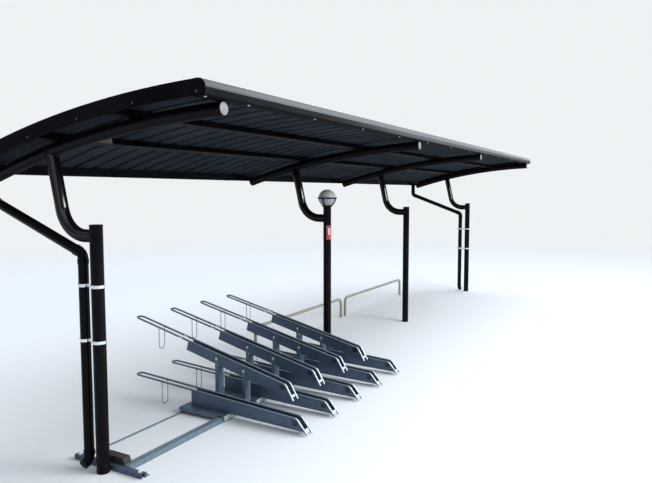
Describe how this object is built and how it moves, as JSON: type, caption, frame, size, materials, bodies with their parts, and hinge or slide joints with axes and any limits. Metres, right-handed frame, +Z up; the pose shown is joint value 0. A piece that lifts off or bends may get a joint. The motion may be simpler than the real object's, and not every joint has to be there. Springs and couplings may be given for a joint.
{
  "type": "bike shelter",
  "caption": "Curved cantilever roof on a row of round posts with J-shaped arms, over a two-level rack of sliding wheel channels.",
  "frame": {"origin": "centre of the first post's foot, at ground level", "axes": "+X along the row of posts, +Y from the open front to the rear, +Z up"},
  "size_m": [7.93, 1.9766, 2.1972],
  "materials": {
    "dark_paint": "satin bronze black coat",
    "roof_paint": "satin blue grey coat",
    "stainless": "bright band",
    "galvanised": "hot dip zinc with faint spangle",
    "plug_plastic": "light grey plug",
    "globe_plastic": "opal",
    "hood_plastic": "opaque white",
    "red_plate": "bare red plate",
    "beige_plate": "bare beige plate",
    "stop_rubber": "dark brown block",
    "beige_paint": "satin beige coat"
  },
  "bodies": {
    "shelter": {"post_1": "dark_paint", "post_2": "dark_paint", "post_3": "dark_paint", "post_4": "dark_paint", "post_caps": "dark_paint", "arms": "dark_paint", "rafters": "dark_paint", "rafter_caps": "plug_plastic", "purlins": "dark_paint", "near_roof_sheet": "roof_paint", "middle_roof_sheet": "roof_paint", "far_roof_sheet": "roof_paint", "front_fascia": "dark_paint", "end_fascias": "dark_paint", "rear_gutter": "dark_paint", "downpipes": "dark_paint", "pipe_bands": "stainless", "lamp_base": "dark_paint", "lamp_globe": "globe_plastic", "lamp_hood": "hood_plastic", "lamp_guard": "dark_paint", "sign_plate": "red_plate", "label_plate": "beige_plate", "floor_rails": "galvanised", "rail_end_bars": "galvanised", "end_stop": "stop_rubber", "wheel_stops": "beige_paint"},
    "low_slider_1": {"low_channel_1": "galvanised", "low_carriage_1": "galvanised"},
    "low_slider_2": {"low_channel_2": "galvanised", "low_carriage_2": "galvanised"},
    "low_slider_3": {"low_channel_3": "galvanised", "low_carriage_3": "galvanised"},
    "low_slider_4": {"low_channel_4": "galvanised", "low_carriage_4": "galvanised"},
    "low_slider_5": {"low_channel_5": "galvanised", "low_carriage_5": "galvanised"},
    "high_slider_1": {"high_channel_1": "galvanised", "high_carriage_1": "galvanised"},
    "high_slider_2": {"high_channel_2": "galvanised", "high_carriage_2": "galvanised"},
    "high_slider_3": {"high_channel_3": "galvanised", "high_carriage_3": "galvanised"},
    "high_slider_4": {"high_channel_4": "galvanised", "high_carriage_4": "galvanised"}
  },
  "joints": [
    {"name": "low_slide_1", "type": "slide", "parent": "shelter", "child": "low_slider_1", "axis": [1, 0, 0], "range_m": [-0.815, 0]},
    {"name": "low_slide_2", "type": "slide", "parent": "shelter", "child": "low_slider_2", "axis": [1, 0, 0], "range_m": [-0.05, 0]},
    {"name": "low_slide_3", "type": "slide", "parent": "shelter", "child": "low_slider_3", "axis": [1, 0, 0], "range_m": [-0.05, 0]},
    {"name": "low_slide_4", "type": "slide", "parent": "shelter", "child": "low_slider_4", "axis": [1, 0, 0], "range_m": [-0.05, 0]},
    {"name": "low_slide_5", "type": "slide", "parent": "shelter", "child": "low_slider_5", "axis": [1, 0, 0], "range_m": [-0.05, 0]},
    {"name": "high_slide_1", "type": "slide", "parent": "shelter", "child": "high_slider_1", "axis": [1, 0, 0], "range_m": [-0.05, 0]},
    {"name": "high_slide_2", "type": "slide", "parent": "shelter", "child": "high_slider_2", "axis": [1, 0, 0], "range_m": [-0.05, 0]},
    {"name": "high_slide_3", "type": "slide", "parent": "shelter", "child": "high_slider_3", "axis": [1, 0, 0], "range_m": [-0.05, 0]},
    {"name": "high_slide_4", "type": "slide", "parent": "shelter", "child": "high_slider_4", "axis": [1, 0, 0], "range_m": [-0.05, 0]}
  ]
}
